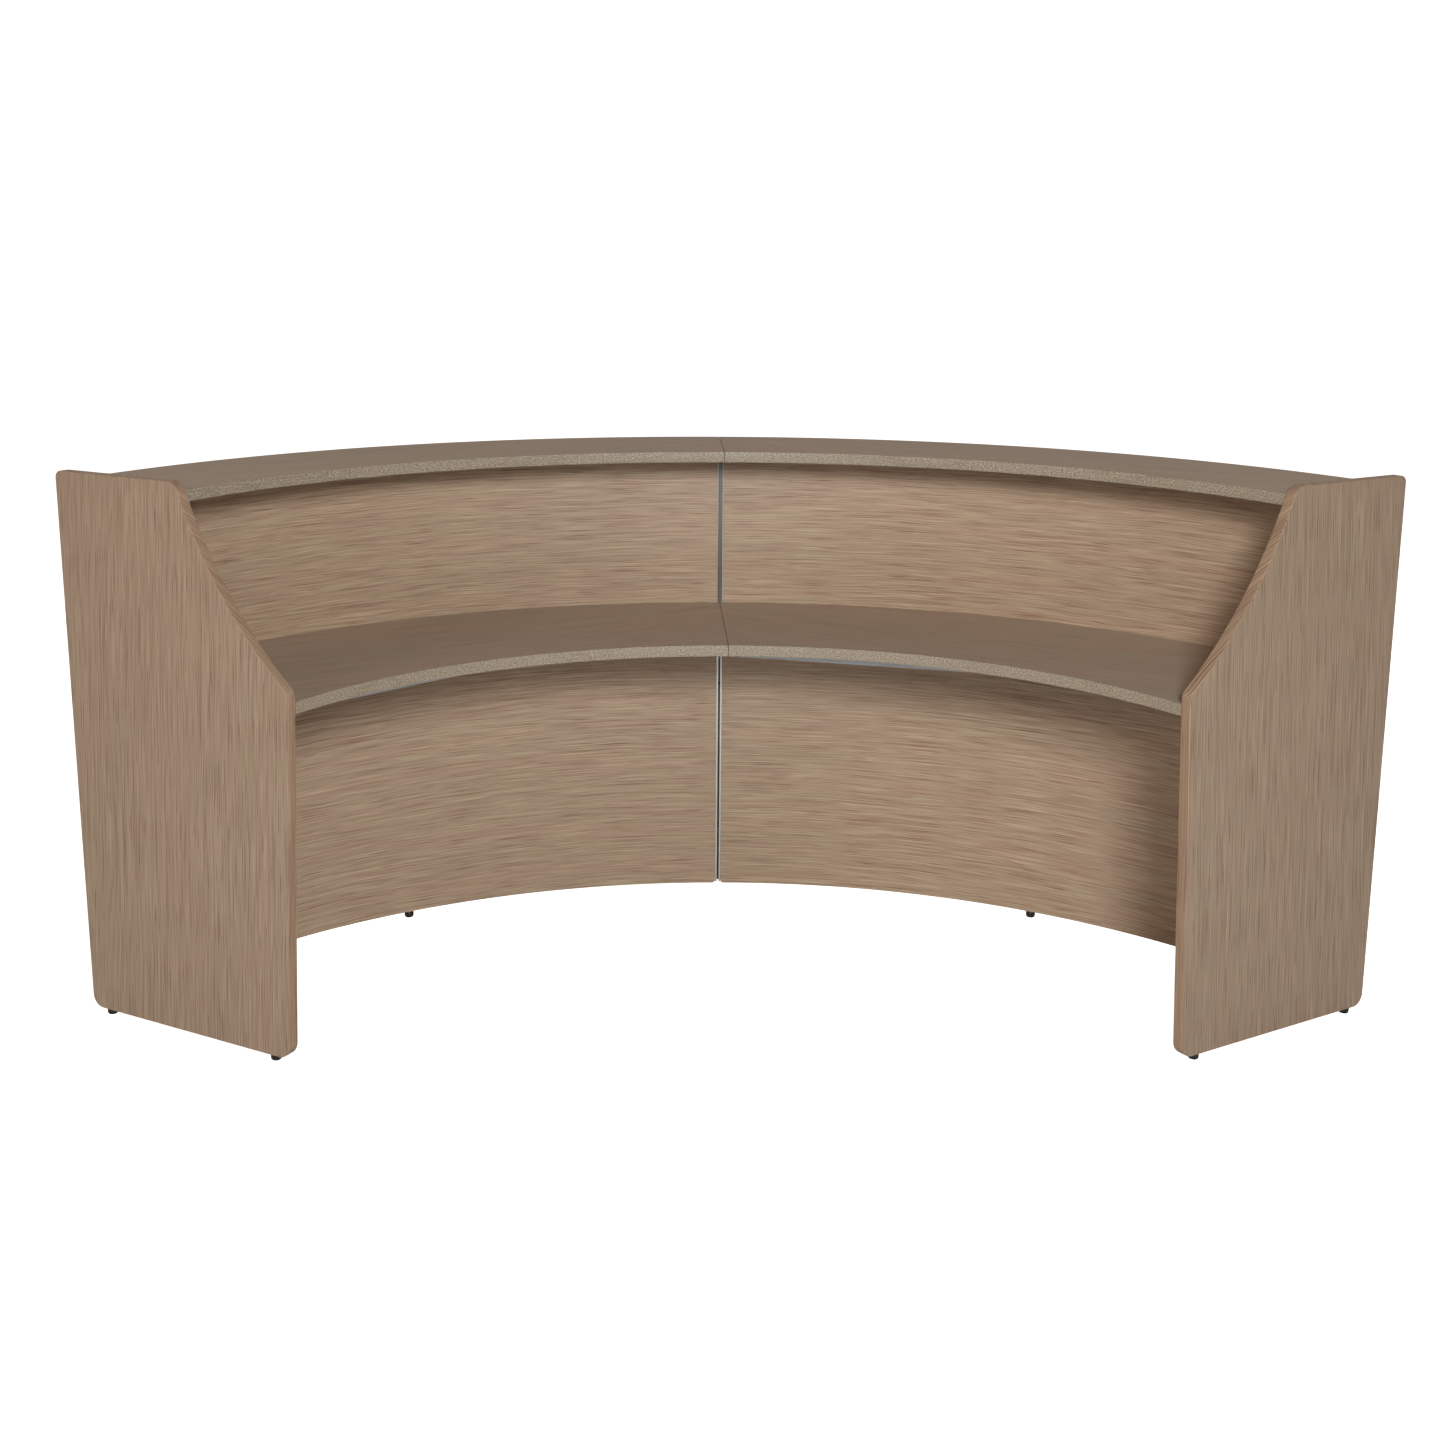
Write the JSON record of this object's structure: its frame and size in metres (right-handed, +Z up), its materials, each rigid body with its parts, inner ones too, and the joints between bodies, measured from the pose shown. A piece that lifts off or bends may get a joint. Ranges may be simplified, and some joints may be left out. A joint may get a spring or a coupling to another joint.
{
  "type": "curved checkout counter",
  "caption": "Curved checkout counter with a low staff worktop, a raised customer top on an upright curved wall, shaped end panels and small levelling feet.",
  "frame": {"origin": "on the floor, in the middle of the counter's box", "axes": "+Z up; +X along the counter; +Y from the staff side to the customer side"},
  "size_m": [2.8514, 1.1166, 1.145],
  "materials": {
    "wall_laminate": "tan woodgrain laminate, grain along the curve, satin",
    "panel_laminate": "tan woodgrain laminate, grain upright, satin",
    "worktop_laminate": "tan woodgrain laminate, straight faint grain, satin",
    "top_laminate": "tan woodgrain laminate, straight faint grain, satin",
    "edge_band": "pale greenish beige plastic edge band with a printed grain",
    "panel_edge_band": "tan plastic edge band with a printed woodgrain",
    "joint_steel": "light grey satin steel",
    "cover_steel": "mid grey satin steel",
    "dowel_steel": "black oxide steel pins",
    "bar_steel": "pale grey painted square tube",
    "bracket_steel": "zinc plated steel",
    "glide_plastic": "black moulded plastic"
  },
  "bodies": {
    "counter": {"end_panel_left": "panel_laminate", "end_panel_edge_left": "panel_edge_band", "wall_left": "wall_laminate", "worktop_left": "worktop_laminate", "worktop_edge_left": "edge_band", "transaction_top_left": "top_laminate", "transaction_edge_staff_left": "edge_band", "transaction_edge_customer_left": "edge_band", "joint_strip_left": "joint_steel", "worktop_bracket_left_1": "bracket_steel", "worktop_bracket_left_2": "bracket_steel", "top_bracket_left_1": "bracket_steel", "top_bracket_left_2": "bracket_steel", "worktop_cleat_left": "bracket_steel", "top_cleat_left": "bracket_steel", "corner_bracket_left": "bracket_steel", "stiffener_left": "bar_steel", "end_panel_right": "panel_laminate", "end_panel_edge_right": "panel_edge_band", "wall_right": "wall_laminate", "worktop_right": "worktop_laminate", "worktop_edge_right": "edge_band", "transaction_top_right": "top_laminate", "transaction_edge_staff_right": "edge_band", "transaction_edge_customer_right": "edge_band", "joint_strip_right": "joint_steel", "worktop_bracket_right_1": "bracket_steel", "worktop_bracket_right_2": "bracket_steel", "top_bracket_right_1": "bracket_steel", "top_bracket_right_2": "bracket_steel", "worktop_cleat_right": "bracket_steel", "top_cleat_right": "bracket_steel", "corner_bracket_right": "bracket_steel", "stiffener_right": "bar_steel", "joint_cover": "cover_steel", "joint_back_cover": "cover_steel", "joint_dowel_1": "dowel_steel", "joint_dowel_2": "dowel_steel", "joint_dowel_3": "dowel_steel", "worktop_joint_plate": "bracket_steel", "foot_insert_left_front": "bracket_steel", "foot_insert_left_back": "bracket_steel", "foot_insert_left_wall": "bracket_steel", "foot_insert_right_front": "bracket_steel", "foot_insert_right_back": "bracket_steel", "foot_insert_right_wall": "bracket_steel"},
    "foot_left_front": {"foot_pad_left_front": "glide_plastic", "foot_stem_left_front": "bracket_steel"},
    "foot_left_back": {"foot_pad_left_back": "glide_plastic", "foot_stem_left_back": "bracket_steel"},
    "foot_left_wall": {"foot_pad_left_wall": "glide_plastic", "foot_stem_left_wall": "bracket_steel"},
    "foot_right_front": {"foot_pad_right_front": "glide_plastic", "foot_stem_right_front": "bracket_steel"},
    "foot_right_back": {"foot_pad_right_back": "glide_plastic", "foot_stem_right_back": "bracket_steel"},
    "foot_right_wall": {"foot_pad_right_wall": "glide_plastic", "foot_stem_right_wall": "bracket_steel"}
  },
  "joints": [
    {"name": "foot_left_front_screw", "type": "slide", "parent": "counter", "child": "foot_left_front", "axis": [0, 0, -1], "range_m": [0, 0.012]},
    {"name": "foot_left_back_screw", "type": "slide", "parent": "counter", "child": "foot_left_back", "axis": [0, 0, -1], "range_m": [0, 0.012]},
    {"name": "foot_left_wall_screw", "type": "slide", "parent": "counter", "child": "foot_left_wall", "axis": [0, 0, -1], "range_m": [0, 0.012]},
    {"name": "foot_right_front_screw", "type": "slide", "parent": "counter", "child": "foot_right_front", "axis": [0, 0, -1], "range_m": [0, 0.012]},
    {"name": "foot_right_back_screw", "type": "slide", "parent": "counter", "child": "foot_right_back", "axis": [0, 0, -1], "range_m": [0, 0.012]},
    {"name": "foot_right_wall_screw", "type": "slide", "parent": "counter", "child": "foot_right_wall", "axis": [0, 0, -1], "range_m": [0, 0.012]}
  ]
}
